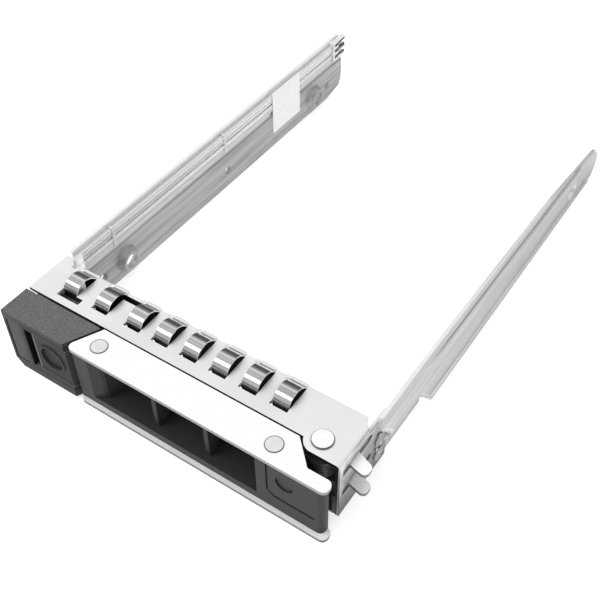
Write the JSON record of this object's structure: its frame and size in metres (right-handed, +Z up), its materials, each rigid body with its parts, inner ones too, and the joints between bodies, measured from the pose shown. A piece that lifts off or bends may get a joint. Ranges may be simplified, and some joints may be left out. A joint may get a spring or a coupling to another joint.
{
  "type": "hot swap drive caddy",
  "caption": "Drive caddy: two long sheet-metal rails on a folded front housing with spring fingers, a swinging cam handle and a push-to-release button.",
  "frame": {"origin": "on the floor plane, midway between the rails' inner faces, below the front edge of the closed handle", "axes": "+X to the right seen from the front, +Y back along the rails, +Z up from the floor to the top plate"},
  "size_m": [0.0793, 0.1265, 0.0179],
  "materials": {
    "zinc_sheet": "light matte zinc",
    "rivet_steel": "satin",
    "spring_steel": "polished",
    "spring_wire": "satin",
    "handle_sheet": "satin silver",
    "grille_plastic": "matte charcoal",
    "bezel_plastic": "fine speckled charcoal",
    "button_plastic": "matte charcoal",
    "smoked_plastic": "smoked",
    "clear_plastic": "clear moulded plastic",
    "guide_trim": "pale grey",
    "label_paper": "blank white paper"
  },
  "bodies": {
    "frame": {"housing_top": "zinc_sheet", "housing_base": "zinc_sheet", "left_rail": "zinc_sheet", "right_rail": "zinc_sheet", "left_rail_rivets": "rivet_steel", "right_rail_rivets": "rivet_steel", "emi_finger_strip": "spring_steel", "light_guide_upper": "clear_plastic", "light_guide_lower": "clear_plastic", "light_guide_clips": "guide_trim", "light_guide_holder": "guide_trim", "rail_label": "label_paper", "end_bezel": "bezel_plastic", "indicator_window": "smoked_plastic", "latch_spring": "spring_wire", "pivot_rivet": "rivet_steel", "pivot_bush": "rivet_steel", "handle_spring": "spring_wire"},
    "handle": {"handle_channel": "handle_sheet", "handle_insert": "grille_plastic", "handle_rivet_left": "rivet_steel", "handle_rivet_right": "rivet_steel", "cam_lever": "zinc_sheet", "lever_rivets": "rivet_steel"},
    "button": {"release_button": "button_plastic"},
    "latch": {"latch": "button_plastic"}
  },
  "joints": [
    {"name": "handle_hinge", "type": "hinge", "parent": "frame", "child": "handle", "pos_m": [0.0312, 0.009, 0.00805], "axis": [0, 0, 1], "range_deg": [0, 40]},
    {"name": "button_press", "type": "slide", "parent": "frame", "child": "button", "axis": [0, 1, 0], "range_m": [0, 0.0012], "stiffness_N_per_m": 300, "springref_m": -0.001},
    {"name": "latch_slide", "type": "slide", "parent": "frame", "child": "latch", "axis": [-1, 0, 0], "range_m": [0, 0.0012], "deforming": ["latch_spring"]}
  ],
  "couplings": [
    {"joint": "latch_slide", "follows": "button_press", "ratio": 1}
  ]
}
